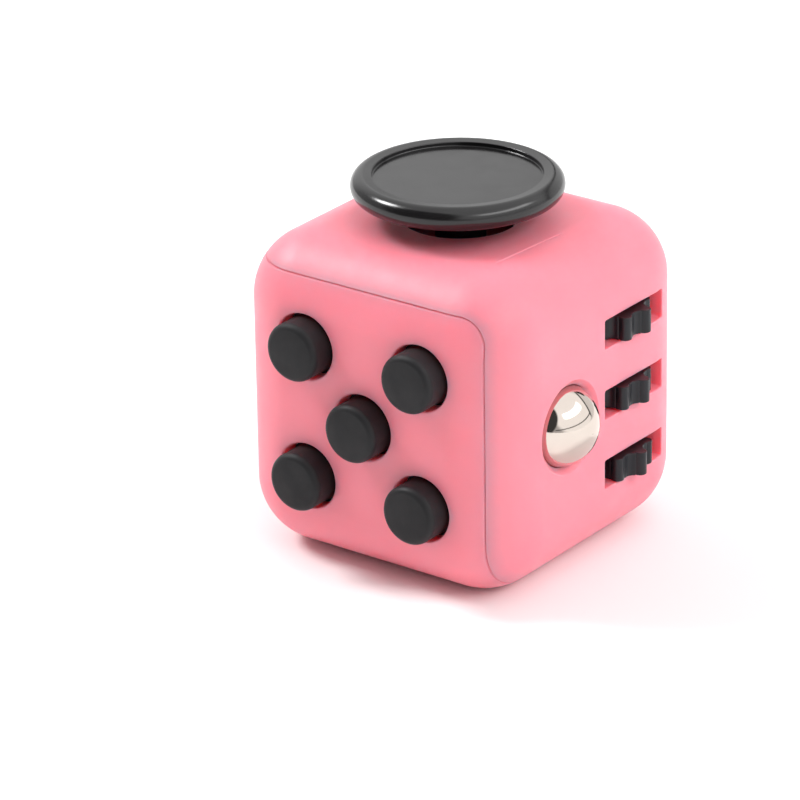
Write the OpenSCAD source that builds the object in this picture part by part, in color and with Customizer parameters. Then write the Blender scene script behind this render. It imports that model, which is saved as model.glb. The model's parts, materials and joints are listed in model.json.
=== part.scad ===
// Fidget cube: a two-piece shell with buttons, joystick disc, ball, wheels, rocker switch and spin dial.
// Origin at the centre of the underside, +Z up. Front is -Y, right is +X.

/* [Body] */
// Outer edge length of the cube
cube_size = 33; // [32.8:0.1:33.4]
// Radius of the outer edges and corners
edge_r = 7; // [6.6:0.1:7.2]
// Wall thickness of both shell halves
wall = 2; // [1.9:0.05:2.1]
// Distance from an outer face to the seam that runs beside it
seam_inset = 2.9; // [2.8:0.05:3.1]
// Radius of the seam where it turns a corner on a face
seam_turn_r = 3; // [2.5:0.5:4]
// Width of the groove left along the seam
seam_gap = 0.12; // [0.08:0.02:0.2]
// How far the front half's inner lip reaches past the seam
lip_reach = 0.7; // [0.4:0.1:0.7]
// Width across the thumb dish in the underside
dish_w = 17; // [14:0.5:18]
// Depth of the thumb dish
dish_depth = 1.9; // [1:0.1:2]

/* [Buttons] */
// Distance between the outer buttons, along and up the face
button_pitch = 13.7; // [13.5:0.1:13.9]
// Radius of a button cap
button_r = 3; // [2.8:0.05:3.1]
// Gap round a cap in its hole
button_gap = 0.37; // [0.3:0.01:0.4]
// How far a cap stands out of the face
button_proud = 2.4; // [2:0.1:2.6]
// Radius round the front edge of a cap
button_edge_r = 0.7; // [0.4:0.1:0.9]
// Travel of a button
button_travel = 1.1; // [0.8:0.1:1.1]

/* [Joystick] */
// Radius of the joystick disc
disc_r = 10.5; // [10:0.1:11]
// Height of the disc's rim above the top face
disc_top = 4.6; // [4.2:0.1:4.8]
// Thickness of the disc's round rim
disc_rim = 2.4; // [1.8:0.1:2.6]
// Depth of the dish inside the rim
disc_dish = 0.4; // [0.3:0.1:0.6]
// Radius of the stem under the disc
stem_r = 2.5; // [2.4:0.1:2.9]
// Radius of the hole in the top face
stem_hole_r = 5.7; // [5.6:0.05:6]
// Glide of the disc each way, on each axis
glide = 2; // [1.5:0.1:2]

/* [Ball] */
// Radius of the steel ball
ball_r = 4.2; // [4.1:0.05:4.3]
// Depth of the ball's centre behind the face
ball_depth = 1.6; // [1.5:0.05:1.7]
// Distance of the ball from the middle of the face, towards the front
ball_offset = 5; // [4.9:0.05:5.1]
// Radius of the countersink at the face
ball_mouth_r = 4.75; // [4.7:0.05:4.9]
// Travel of the ball when pressed
ball_travel = 0.8; // [0.5:0.1:0.8]

/* [Wheels] */
// Outer radius of a toothed wheel
wheel_r = 4.15; // [4.1:0.05:4.3]
// Radius at the bottom of the wheel's scallops
wheel_root_r = 3.25; // [3.2:0.05:3.4]
// Number of rounded teeth
wheel_teeth = 8; // [6:1:9]
// Thickness of a wheel
wheel_t = 2.4; // [2.2:0.05:2.4]
// Depth of the axle behind the face
axle_depth = 2.75; // [2.7:0.05:2.8]
// Distance of the axle from the middle of the face, towards the back
axle_offset = 5.8; // [5.7:0.05:5.9]
// Radius of the axle
axle_r = 0.55; // [0.5:0.05:0.55]
// Height between neighbouring wheels
wheel_pitch = 7.4; // [7.3:0.05:7.5]
// Length of a slot along the face
slot_w = 10.04; // [9.8:0.02:10.2]
// Height of a slot
slot_h = 3; // [2.9:0.05:3.1]

/* [Rocker] */
// Width of the rocker
rocker_w = 10.6; // [10:0.1:10.8]
// Length of the rocker before it tilts
rocker_len = 12.8; // [12:0.1:13]
// Tilt of the rocker to either side
rocker_tilt = 10; // [8:0.5:10]

/* [Dial] */
// Radius of the spin dial
dial_r = 6.8; // [6:0.1:7]
// Height of the dial above the face
dial_proud = 2; // [1.8:0.1:2]
// Height of the finger nub above the face
nub_proud = 2.6; // [2.4:0.1:2.7]

/* [Hidden] */
$fn = 64;

half = cube_size / 2;
over = 1;            // how far a cutter runs past what it cuts
loose = 0.3;         // gap between a moving piece and what it passes
slack = 0.2;         // gap between still or slowly moving flat faces
running = 0.06;      // radial clearance of a shaft in its hole
touch = 0.02;        // gap between still pieces that rest on each other
pilot_r = 0.65;      // pilot hole for a small screw
shank_r = 0.62;      // screw shank
shank_hole_r = 0.75; // hole a screw passes through
head_r = 1.2;        // screw head
head_t = 0.7;        // thickness of a screw head
drive_w = 0.25;      // slots across a screw's head
drive_len = 1.6;
drive_depth = 0.3;
boss_r = 1.5;        // screw boss
blade_t = 0.2;       // thickness of a leaf spring

// Shell
lip_t = 0.9;         // thickness of the inner lip
lip_fit = 0.1;       // gap round the lip
seam_block = 10;     // how deep the seam's blocks reach behind a face
dish_r = (pow(dish_w / 2, 2) + pow(dish_depth, 2)) / (2 * dish_depth);

// Buttons, in the front face's frame: z is 0 at the face and negative inside
button_hole_r = button_r + button_gap;
button_spots = [for (s = [[-1, 1], [1, 1], [0, 0], [-1, -1], [1, -1]]) s * button_pitch / 2];
flange_r = 3.75;     // flange that keeps a cap behind the wall
flange_t = 0.8;
plunger_r = 1.2;     // plunger behind the flange
plunger_t = 0.9;
flange_z = -wall - slack;
plunger_z = flange_z - flange_t - plunger_t;
dome_r = 2.2;        // silicone dome under a plunger
dome_top_r = 1.5;
dome_h = button_travel + slack;
pad_t = 0.7;
pad_z = plunger_z - slack / 2 - dome_h - pad_t;
snap_r = 1.8;        // metal snap dome
snap_t = 0.35;
snap_sheet = 0.15;   // thickness of its sheet
plate_z = pad_z - snap_t;
plate_t = 1;
plate_left = -11.6;  // edges of the back plate from the middle of the face
plate_right = 10.4;
plate_half_h = 9.4;
plate_tab_r = 1.8;   // rounded tab round each screw
notch_x = 5.2;       // the notch that clears the ball's sleeve
notch_half_h = 4.6;
screw_ring = 9.8;    // plate screws' distance from the middle
plate_screw_turns = [90, 180, 270];
plate_screw_len = 3.4;

// Joystick, in the top face's frame
cap_low = disc_top - disc_rim;
disc_shift = -0.3;   // how far the disc sits off its stem's axis
peg_r = 1.6;         // peg that joins the cap to the stem
peg_len = 0.9;
slider_cover = 1.3;  // how far the slider still covers the hole's edge at full glide
slider_r = stem_hole_r + glide + slider_cover;
slider_top = -wall - 0.25;
slider_t = 0.85;
key_w = 2;
key_h = 0.55;
key_len = 11;
key_fit = 0.08;      // gap on each side of a key in its groove
groove_depth = key_h - slack / 2;
cross_r = 7.5;
cross_top = slider_top - slider_t - slack;
cross_t = 0.95;
retainer_top = cross_top - cross_t - slack;
retainer_t = 1.4;
retainer_half = 8.2;
retainer_screw_len = 3.2;
post_at = 9.7;       // posts that carry the retainer
ring_wire_r = 0.4;   // centring ring round the slider
ring_r = slider_r + 0.25 + ring_wire_r;
ring_z = slider_top - slider_t - slack / 2 + ring_wire_r;
ring_seat_r = 0.8;   // seats on the retainer that carry the ring
ring_seat_at = 10.3; // their distance from the middle

// Ball, in the frame of the ball's own hole
lip_r = 4.15;        // retaining lip in front of the ball
lip_depth = 0.58;    // depth of the countersink
lip_land = 0.1;      // width of the lip's edge
seat_r = ball_r + 0.25;
socket_r = 5;
socket_front = -wall - 0.9;
socket_back = -6.6;
socket_seat_r = ball_r + 0.08;
sleeve_bore_r = socket_r + 0.1;
socket_recess_r = 3.4; // recess for the spring
socket_recess = 0.5;
sleeve_r = 6;
spring_room = 2.6;   // room left for the spring at full travel
sleeve_end = socket_back - ball_travel - spring_room;
spring_r = 2.6;
spring_wire_r = 0.2;
spring_turns = 4;
cap_plug_t = 0.8;
cap_plug_w = 1;
cap_t = 1;
cap_vent_r = 0.8;

// Wheels, in the frame of the axle where it crosses the middle of the face
wheel_heights = [wheel_pitch, 0, -wheel_pitch];
wheel_phases = [13.7, 9, 0.9];
wheel_sags = [0, -0.12, 0.06]; // how far each wheel sits below its height
slot_low = -1.35;    // lower edge of a slot from its wheel's height
slot_back = 0.1;     // how far a slot's middle lies behind the axle
tooth_r = 0.65;      // radius round a tooth's tip
scallop_r = 0.85;
axle_half = 10.1;
saddle_heights = [for (s = [-1.27, -0.5, 0.5, 1.27]) s * wheel_pitch];
saddle_w = 4.4;
saddle_t = 1.1;
saddle_back = -wall - 3;
saddle_fit = 0.02;   // gap between the axle and its saddles
keeper_arm_w = 2 * axle_r;
keeper_web_w = 4.4;
keeper_web_back = -9.1;
keeper_web_front = -8.3;
click_len = 4.4;     // length of the click spring's blade
click_gap = 0.6;     // gap between a wheel's tips and the blade
click_bump_r = 0.45;
click_inset = 0.4;   // how much narrower the blade is than the wheel, on each side
click_clear = 0.15;  // gap between the bump and the wheel
click_foot_w = 0.5;  // foot that joins the blade to the axle keeper

// Rocker, in the back face's frame
rocker_pin_r = 0.8;
rocker_pin_z = -3.9; // depth of the pin behind the face
rocker_mid = 4;      // height of the rocker's middle above the pin
rocker_side = 1.6;   // height of its ends' lower corners above the pin
rocker_heel = 1.3;   // depth of its heel below the pin
rocker_heel_half = 2.2;
rocker_open_w = rocker_w + 2 * loose;
rocker_open_h = 15.2;
housing_w = 14;
housing_h = 18;
housing_back = -8.6;
housing_floor_t = 1;
housing_room = 0.4;  // how far the cavity runs past the opening at each end
housing_screw_len = 2.6;
leaf_w = 4;          // detent spring
leaf_half = 5;
leaf_gap = 0.35;     // gap between the spring and the rocker's heel
lug_x = 9;
lug_r = 1.4;
lug_z = -4.5;
lug_t = 1.1;

// Dial, in the left face's frame
dial_edge_r = 0.5;
nub_r = 1.6;         // finger nub
nub_edge_r = 0.4;
nub_at = 4.2;        // distance of the nub from the dial's middle
dial_hub_r = 2.6;
dial_spigot_r = 1.6;
dial_spigot_gap = 0.1;
ratchet_r = 5;
ratchet_t = 1.2;
ratchet_top = -wall - 0.35;
ratchet_notches = 12;
notch_r = 0.55;
dial_screw_head_r = 1.9;
dial_screw_len = 2.6;
dial_slot_w = 0.3;   // slot across the screw's head
dial_slot_len = 2.6;
pawl_half = 4;       // click spring beside the ratchet
pawl_foot_w = 0.8;
pawl_foot_h = 1.4;
pawl_gap = 0.5;      // gap between the ratchet and the blade

// ---- Frames of the six faces: local z points out of the face ----

module on_front() { translate([0, -half, half]) rotate([90, 0, 0]) children(); }
module on_back() { translate([0, half, half]) rotate([90, 0, 180]) children(); }
module on_right() { translate([half, 0, half]) rotate([90, 0, 90]) children(); }
module on_left() { translate([-half, 0, half]) rotate([90, 0, -90]) children(); }
module on_top() { translate([0, 0, cube_size]) children(); }
module on_bottom() { rotate([180, 0, 0]) children(); }
module at_ball() { on_right() translate([-ball_offset, 0, 0]) children(); }
module at_axle() { on_right() translate([axle_offset, 0, -axle_depth]) children(); }

// ---- Simple solids ----

// Round bar from one height to another
module bar(r, from, to) { translate([0, 0, from]) cylinder(r = r, h = to - from); }

// Round tube from one height to another
module tube(r_out, r_in, from, to) {
    difference() {
        bar(r_out, from, to);
        bar(r_in, from - over, to + over);
    }
}

// Screw whose head rests at z and whose shank goes up from it
module screw(length) {
    bar(shank_r, 0, length);
    difference() {
        bar(head_r, -head_t, 0);
        for (turn = [0, 90]) rotate(turn) translate([-drive_len / 2, -drive_w / 2, -head_t - over])
            cube([drive_len, drive_w, over + drive_depth]);
    }
}

// Cube with every edge and corner rounded, about its own centre
module round_box(size, r) {
    flat = size - 2 * r;
    for (turn = [[0, 0, 0], [0, 90, 0], [90, 0, 0]]) rotate(turn) {
        cube([flat, flat, size], center = true);
        for (x = [-1, 1], y = [-1, 1])
            translate([x, y, 0] * flat / 2) cylinder(r = r, h = flat, center = true);
    }
    for (x = [-1, 1], y = [-1, 1], z = [-1, 1]) translate([x, y, z] * flat / 2) sphere(r = r);
}

// Coil spring of round wire along +z, swept through points on a helix
module coil(r, wire_r, height, turns) {
    sides = 6;
    rings = turns * 16;
    at = function(i) [r * cos(360 * turns * i / rings), r * sin(360 * turns * i / rings),
                      wire_r + (height - 2 * wire_r) * i / rings];
    out = function(i) [cos(360 * turns * i / rings), sin(360 * turns * i / rings), 0];
    points = [for (i = [0 : rings], k = [0 : sides - 1])
        at(i) + wire_r * (cos(360 * k / sides) * out(i) + [0, 0, sin(360 * k / sides)])];
    walls = [for (i = [0 : rings - 1], k = [0 : sides - 1])
        let (n = (k + 1) % sides) [i * sides + k, (i + 1) * sides + k, (i + 1) * sides + n, i * sides + n]];
    polyhedron(points, concat(walls, [[for (k = [0 : sides - 1]) k]],
        [[for (k = [sides - 1 : -1 : 0]) rings * sides + k]]), convexity = 6);
}

// ---- Shell ----

module hollow_cube(outer_inset, inner_inset) {
    translate([0, 0, half]) difference() {
        round_box(cube_size - 2 * outer_inset, edge_r - outer_inset);
        round_box(cube_size - 2 * inner_inset, edge_r - inner_inset);
    }
}

// What lies inside the shell's walls
module inside() {
    intersection() {
        translate([0, 0, half]) round_box(cube_size - 2 * (wall + touch), edge_r - wall - touch);
        children();
    }
}

// Block behind one face, up to the seam on its +x and +y sides
module seam_face_block(grow) {
    reach = half - seam_inset + grow;
    turn_r = seam_turn_r + grow;
    translate([0, 0, -seam_block]) linear_extrude(seam_block + over) difference() {
        translate([-half - over, -half - over]) square(half + over + reach);
        translate([reach - turn_r, reach - turn_r]) difference() {
            square(turn_r + over);
            circle(r = turn_r);
        }
    }
}

// Space on the front half's side of the seam, grown or shrunk
module front_side(grow) {
    on_front() seam_face_block(grow);
    on_left() mirror([1, 0, 0]) seam_face_block(grow);
    on_bottom() mirror([0, 1, 0]) seam_face_block(grow);
}

// Lip inside the front half that covers the seam, grown all round for its recess
module seam_lip(grow) {
    intersection() {
        hollow_cube(wall - lip_t - grow, wall + grow);
        front_side(lip_reach + grow);
    }
}

module plate_screw_spots() {
    for (turn = plate_screw_turns) rotate(turn) translate([screw_ring, 0, 0]) children();
}

module dish_floor() {
    intersection() {
        translate([0, 0, dish_depth - dish_r]) sphere(r = dish_r + wall);
        bar(dish_w / 2 + over, wall / 2, 2 * wall + dish_depth);
    }
}

module front_left_shell() {
    color("#fa9da8") difference() {
        union() {
            intersection() {
                hollow_cube(0, wall);
                front_side(-seam_gap / 2);
            }
            seam_lip(0);
            dish_floor();
        }
        translate([0, 0, dish_depth - dish_r]) sphere(r = dish_r);
        on_front() for (spot = button_spots) translate(spot) bar(button_hole_r, -wall - over, over);
        on_left() bar(dial_hub_r + running, -wall - over, over);
    }
}

module post_spots() { for (x = [-1, 1], y = [-1, 1]) translate([x, y, 0] * post_at) children(); }
module lug_spots() { for (x = [-1, 1]) translate([x * lug_x, 0, 0]) children(); }

// Posts behind the front wall that carry the buttons' back plate
module button_plate_posts() {
    color("#fa9da8") inside() on_front() plate_screw_spots() tube(boss_r, pilot_r, plate_z, -wall / 2);
}

// Posts under the top wall that carry the glide retainer
module glide_posts() {
    color("#fa9da8") inside() on_top() post_spots() tube(boss_r, pilot_r, retainer_top, -wall / 2);
}

// Sleeve behind the ball's hole, in which the ball's socket slides
module ball_sleeve() {
    color("#fa9da8") inside() at_ball() tube(sleeve_r, sleeve_bore_r, sleeve_end, -wall / 2);
}

// Saddles that carry the wheel axle, open towards the inside
module axle_saddles() {
    color("#fa9da8") inside() at_axle() for (h = saddle_heights) translate([0, h, 0]) difference() {
        translate([-saddle_w / 2, -saddle_t / 2, axle_depth + saddle_back])
            cube([saddle_w, saddle_t, -saddle_back - wall / 2]);
        rotate([90, 0, 0]) cylinder(r = axle_r + saddle_fit, h = saddle_t + over, center = true);
        translate([-axle_r - saddle_fit, -saddle_t / 2 - over, axle_depth + saddle_back - over])
            cube([2 * (axle_r + saddle_fit), saddle_t + 2 * over, -saddle_back - axle_depth + over]);
    }
}

// Lugs inside the back wall that the rocker housing is screwed to
module housing_lugs() {
    color("#fa9da8") inside() on_back() lug_spots() tube(lug_r, pilot_r, lug_z, -wall / 2);
}

module ball_hole() {
    translate([0, 0, -lip_depth]) cylinder(r1 = lip_r, r2 = ball_mouth_r, h = lip_depth);
    bar(ball_mouth_r, 0, over);
    bar(lip_r, -wall - over, -lip_depth / 2);
    bar(seat_r, -wall - over, -lip_depth - lip_land);
}

module top_right_back_shell() {
    color("#fa9da8") difference() {
        hollow_cube(0, wall);
        front_side(seam_gap / 2);
        seam_lip(lip_fit);
        on_top() bar(stem_hole_r, -wall - over, over);
        at_ball() ball_hole();
        at_axle() for (h = wheel_heights)
            translate([slot_back - slot_w / 2, h + slot_low, axle_depth - wall - over])
                cube([slot_w, slot_h, wall + 2 * over]);
        on_back() translate([-rocker_open_w / 2, -rocker_open_h / 2, -wall - over])
            cube([rocker_open_w, rocker_open_h, wall + 2 * over]);
    }
}

// ---- Buttons ----

module button(spot) {
    skirt_z = flange_z - flange_t / 2;
    color("#383538") on_front() translate(spot) {
        rotate_extrude() {
            translate([0, skirt_z]) square([button_r, button_proud - button_edge_r - skirt_z]);
            square([button_r - button_edge_r, button_proud]);
            translate([button_r - button_edge_r, button_proud - button_edge_r]) circle(r = button_edge_r);
        }
        bar(flange_r, flange_z - flange_t, flange_z);
        bar(plunger_r, plunger_z, flange_z);
    }
}

module plate_outline() {
    difference() {
        union() {
            translate([plate_left, -plate_half_h]) square([plate_right - plate_left, 2 * plate_half_h]);
            for (turn = plate_screw_turns) rotate(turn) translate([screw_ring, 0]) circle(r = plate_tab_r);
        }
        translate([notch_x, -notch_half_h]) square([plate_right, 2 * notch_half_h]);
    }
}

module button_pad() {
    color("#d8d4cf") on_front() difference() {
        union() {
            translate([0, 0, pad_z]) linear_extrude(pad_t) plate_outline();
            for (spot = button_spots) translate([spot.x, spot.y, pad_z + pad_t / 2])
                cylinder(r1 = dome_r, r2 = dome_top_r, h = dome_h + pad_t / 2);
        }
        plate_screw_spots() bar(boss_r + slack, pad_z - over, pad_z + pad_t + over);
    }
}

// Shallow metal domes under the three buttons that click
module click_domes() {
    color("#b9bcc0") on_front() for (i = [0, 2, 4]) translate([each button_spots[i], plate_z])
        difference() {
            cylinder(r1 = snap_r, r2 = snap_r / 2, h = snap_t - touch);
            translate([0, 0, -snap_sheet]) cylinder(r1 = snap_r, r2 = snap_r / 2, h = snap_t - touch);
        }
}

module button_back_plate() {
    color("#e9e6e1") on_front() difference() {
        translate([0, 0, plate_z - plate_t]) linear_extrude(plate_t - touch) plate_outline();
        plate_screw_spots() bar(shank_hole_r, plate_z - plate_t - over, plate_z + over);
    }
}

module button_plate_screws() {
    color("#b9bcc0") on_front() plate_screw_spots() translate([0, 0, plate_z - plate_t - touch])
        screw(plate_screw_len);
}

// ---- Joystick ----

module joystick_cap() {
    rim_r = disc_rim / 2;
    color("#2a272a") on_top() difference() {
        translate([disc_shift, 0, 0]) rotate_extrude() {
            translate([0, cap_low]) square([disc_r - rim_r, disc_rim - disc_dish]);
            translate([disc_r - rim_r, disc_top - rim_r]) circle(r = rim_r);
        }
        bar(peg_r + touch, cap_low - over, cap_low + peg_len + slack / 2);
    }
}

module joystick_slider() {
    color("#222022") on_top() {
        bar(stem_r, slider_top - slider_t / 2, cap_low - touch);
        bar(peg_r, cap_low - over, cap_low + peg_len);
        bar(slider_r, slider_top - slider_t, slider_top);
        translate([-key_w / 2, -key_len / 2, slider_top - slider_t - key_h])
            cube([key_w, key_len, key_h + slider_t / 2]);
    }
}

module joystick_cross_slider() {
    color("#e9e6e1") on_top() difference() {
        union() {
            bar(cross_r, cross_top - cross_t, cross_top);
            translate([-key_len / 2, -key_w / 2, cross_top - cross_t - key_h])
                cube([key_len, key_w, key_h + cross_t / 2]);
        }
        translate([-key_w / 2 - key_fit, -cross_r - over, cross_top - groove_depth])
            cube([key_w + 2 * key_fit, 2 * (cross_r + over), groove_depth + over]);
    }
}

module centring_ring() {
    color("#55514f") on_top() translate([0, 0, ring_z])
        rotate_extrude() translate([ring_r, 0]) circle(r = ring_wire_r, $fn = 24);
}

module glide_retainer() {
    arm = post_at * sqrt(2);
    color("#e9e6e1") on_top() difference() {
        union() {
            translate([0, 0, retainer_top - retainer_t]) linear_extrude(retainer_t - touch) difference() {
                union() {
                    square(2 * retainer_half, center = true);
                    for (turn = [45, 135]) rotate(turn) square([2 * arm, 2 * boss_r], center = true);
                    post_spots() circle(r = boss_r);
                }
                post_spots() circle(r = shank_hole_r);
            }
            for (turn = [45 : 90 : 315]) rotate(turn) translate([ring_seat_at, 0, 0])
                bar(ring_seat_r, retainer_top - retainer_t / 2, ring_z - ring_wire_r - touch);
        }
        translate([-retainer_half - over, -key_w / 2 - key_fit, retainer_top - groove_depth])
            cube([2 * (retainer_half + over), key_w + 2 * key_fit, groove_depth + over]);
    }
}

module glide_screws() {
    color("#b9bcc0") on_top() post_spots() translate([0, 0, retainer_top - retainer_t - touch])
        screw(retainer_screw_len);
}

// ---- Ball ----

module ball() {
    color("#ddcec1") at_ball() translate([0, 0, -ball_depth]) sphere(r = ball_r);
}

module ball_socket() {
    color("#e9e6e1") at_ball() difference() {
        bar(socket_r, socket_back, socket_front);
        translate([0, 0, -ball_depth]) sphere(r = socket_seat_r);
        bar(socket_recess_r, socket_back - over, socket_back + socket_recess);
    }
}

module ball_spring() {
    color("#b9bcc0") at_ball() translate([0, 0, sleeve_end + touch])
        coil(spring_r, spring_wire_r, socket_back + socket_recess - sleeve_end - 2 * touch, spring_turns);
}

module ball_spring_cap() {
    color("#e9e6e1") at_ball() difference() {
        union() {
            bar(sleeve_r, sleeve_end - cap_t - touch, sleeve_end - touch);
            tube(sleeve_bore_r - touch, sleeve_bore_r - cap_plug_w,
                sleeve_end - cap_t / 2, sleeve_end + cap_plug_t);
        }
        bar(cap_vent_r, sleeve_end - cap_t - over, sleeve_end + over);
    }
}

// ---- Wheels ----

module wheel_outline() {
    tip_at = wheel_r - tooth_r;
    step = 360 / wheel_teeth;
    difference() {
        union() {
            circle(r = tip_at);
            for (i = [0 : wheel_teeth - 1]) rotate(i * step)
                translate([tip_at, 0]) circle(r = tooth_r, $fn = 32);
        }
        for (i = [0 : wheel_teeth - 1]) rotate((i + 0.5) * step)
            translate([wheel_root_r + scallop_r, 0]) circle(r = scallop_r, $fn = 32);
        circle(r = axle_r + running);
    }
}

// Turns the outline's plane level, with its x axis pointing out of the face
module level() { rotate([-90, -90, 0]) children(); }

// Height of a wheel's lower face
function wheel_low(i) = wheel_heights[i] - wheel_sags[i] - wheel_t / 2;

module wheel(i) {
    color("#26252a") at_axle() translate([0, wheel_low(i), 0]) level()
        linear_extrude(wheel_t) rotate(wheel_phases[i]) wheel_outline();
}

module wheel_axle() {
    color("#b9bcc0") at_axle() rotate([90, 0, 0]) cylinder(r = axle_r, h = 2 * axle_half, center = true);
}

module axle_keeper() {
    web_h = 2 * max(saddle_heights) + saddle_t;
    color("#e9e6e1") at_axle() {
        translate([-keeper_web_w / 2, -web_h / 2, axle_depth + keeper_web_back])
            cube([keeper_web_w, web_h, keeper_web_front - keeper_web_back]);
        for (h = saddle_heights)
            translate([-keeper_arm_w / 2, h - saddle_t / 2, axle_depth + keeper_web_back])
                cube([keeper_arm_w, saddle_t, -axle_r - touch - axle_depth - keeper_web_back]);
    }
}

// Blade on a foot, with a round bump that rests in the scallop nearest the inside of the cube
module wheel_click_spring(i) {
    step = 360 / wheel_teeth;
    valley = wheel_phases[i] + (ceil((180 - wheel_phases[i]) / step) - 0.5) * step;
    blade_at = wheel_r + click_gap;
    bump_at = wheel_root_r + click_clear + click_bump_r;
    root = [blade_at + blade_t / 2, click_len / 2 - click_foot_w / 2];
    root_x = root.x * cos(valley) - root.y * sin(valley);
    root_y = root.x * sin(valley) + root.y * cos(valley);
    web_x = axle_depth + keeper_web_front + touch;
    color("#b9bcc0") at_axle() translate([0, wheel_low(i) + click_inset, 0])
        level() linear_extrude(wheel_t - 2 * click_inset) {
            rotate(valley) {
                translate([blade_at, -click_len / 2]) square([blade_t, click_len]);
                translate([bump_at, -blade_t / 2]) square([blade_at + blade_t / 2 - bump_at, blade_t]);
                translate([bump_at, 0]) circle(r = click_bump_r, $fn = 24);
            }
            translate([web_x, root_y - click_foot_w / 2]) square([root_x - web_x, click_foot_w]);
        }
}

// ---- Rocker switch ----

// Profile across the rocker: y is up the face and x is height above the pin
module rocker_profile() {
    end_y = rocker_len / 2;
    end_h = rocker_mid + end_y * tan(rocker_tilt);
    difference() {
        polygon([[rocker_side, -end_y], [end_h, -end_y], [rocker_mid, 0],
            [end_h, end_y], [rocker_side, end_y],
            [-rocker_heel, rocker_heel_half], [-rocker_heel, -rocker_heel_half]]);
        circle(r = rocker_pin_r + running);
    }
}

// Frame of the rocker's pin: local z runs along the pin, local x points out of the face
module at_rocker_pin() { on_back() translate([0, 0, rocker_pin_z]) rotate([0, -90, 0]) children(); }

module rocker() {
    color("#2a272a") at_rocker_pin() rotate(-rocker_tilt)
        linear_extrude(rocker_w, center = true) rocker_profile();
}

module rocker_pin() {
    color("#b9bcc0") at_rocker_pin() cylinder(r = rocker_pin_r, h = housing_w - 2 * slack, center = true);
}

module rocker_housing() {
    cavity_h = rocker_open_h + 2 * housing_room;
    color("#e9e6e1") on_back() difference() {
        union() {
            translate([-housing_w / 2, -housing_h / 2, housing_back])
                cube([housing_w, housing_h, -wall - touch - housing_back]);
            lug_spots() bar(lug_r, lug_z - lug_t, lug_z - touch);
            translate([-lug_x, -lug_r, lug_z - lug_t]) cube([2 * lug_x, 2 * lug_r, lug_t - touch]);
        }
        translate([-rocker_open_w / 2, -cavity_h / 2, housing_back + housing_floor_t])
            cube([rocker_open_w, cavity_h, -housing_back]);
        translate([0, 0, rocker_pin_z]) rotate([0, 90, 0])
            cylinder(r = rocker_pin_r + touch, h = housing_w + over, center = true);
        lug_spots() bar(shank_hole_r, lug_z - lug_t - over, lug_z + over);
    }
}

module rocker_housing_screws() {
    color("#b9bcc0") on_back() lug_spots() translate([0, 0, lug_z - lug_t - touch]) screw(housing_screw_len);
}

// Leaf spring bowed up from the housing floor to the rocker's heel
module rocker_detent_spring() {
    floor_z = housing_back + housing_floor_t + touch;
    rise = rocker_pin_z - rocker_heel - leaf_gap - floor_z;
    bow_r = (pow(leaf_half, 2) + pow(rise, 2)) / (2 * rise);
    color("#b9bcc0") on_back() translate([0, 0, floor_z]) intersection() {
        translate([0, 0, rise - bow_r]) rotate([0, 90, 0]) difference() {
            cylinder(r = bow_r, h = leaf_w, center = true);
            cylinder(r = bow_r - blade_t, h = leaf_w + over, center = true);
        }
        translate([-leaf_w, -leaf_half, 0]) cube([2 * leaf_w, 2 * leaf_half, rise + over]);
    }
}

// ---- Spin dial ----

// Round knob from one height to another with a rounded top edge
module knob(r, edge_r, from, to) {
    rotate_extrude() {
        translate([0, from]) square([r - edge_r, to - from]);
        translate([0, from]) square([r, to - from - edge_r]);
        translate([r - edge_r, to - edge_r]) circle(r = edge_r);
    }
}

module dial_cap() {
    color("#2a272a") on_left() difference() {
        union() {
            knob(dial_r, dial_edge_r, loose, dial_proud);
            translate([0, nub_at, 0]) knob(nub_r, nub_edge_r, dial_proud / 2, nub_proud);
            bar(dial_hub_r, ratchet_top + touch, dial_proud / 2);
            bar(dial_spigot_r, ratchet_top - ratchet_t + dial_spigot_gap, 0);
        }
        bar(pilot_r, ratchet_top - ratchet_t - over, 0);
    }
}

module dial_ratchet() {
    color("#e9e6e1") on_left() translate([0, 0, ratchet_top - ratchet_t])
        linear_extrude(ratchet_t) difference() {
            circle(r = ratchet_r);
            circle(r = dial_spigot_r + touch);
            for (i = [0 : ratchet_notches - 1]) rotate(i * 360 / ratchet_notches)
                translate([ratchet_r, 0]) circle(r = notch_r, $fn = 24);
        }
}

module dial_screw() {
    color("#b9bcc0") on_left() translate([0, 0, ratchet_top - ratchet_t - touch]) {
        bar(shank_r, 0, dial_screw_len);
        difference() {
            bar(dial_screw_head_r, -head_t, 0);
            translate([-dial_slot_len / 2, -dial_slot_w / 2, -head_t - over])
                cube([dial_slot_len, dial_slot_w, over + drive_depth]);
        }
    }
}

// Blade above the ratchet with a bump that rests in a notch, on two feet that reach the wall
module dial_click_spring() {
    blade_at = ratchet_r + pawl_gap;
    spring_z = ratchet_top - ratchet_t + slack;
    color("#b9bcc0") on_left() {
        translate([0, 0, spring_z]) linear_extrude(ratchet_t - 2 * slack) {
            translate([-pawl_half, blade_at]) square([2 * pawl_half, blade_t]);
            translate([0, ratchet_r + touch]) circle(r = notch_r - slack / 2, $fn = 24);
            translate([-blade_t, ratchet_r]) square([2 * blade_t, pawl_gap + blade_t / 2]);
        }
        for (x = [-pawl_half, pawl_half - pawl_foot_w]) translate([x, blade_at, spring_z])
            cube([pawl_foot_w, pawl_foot_h, -wall - touch - spring_z]);
    }
}

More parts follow.
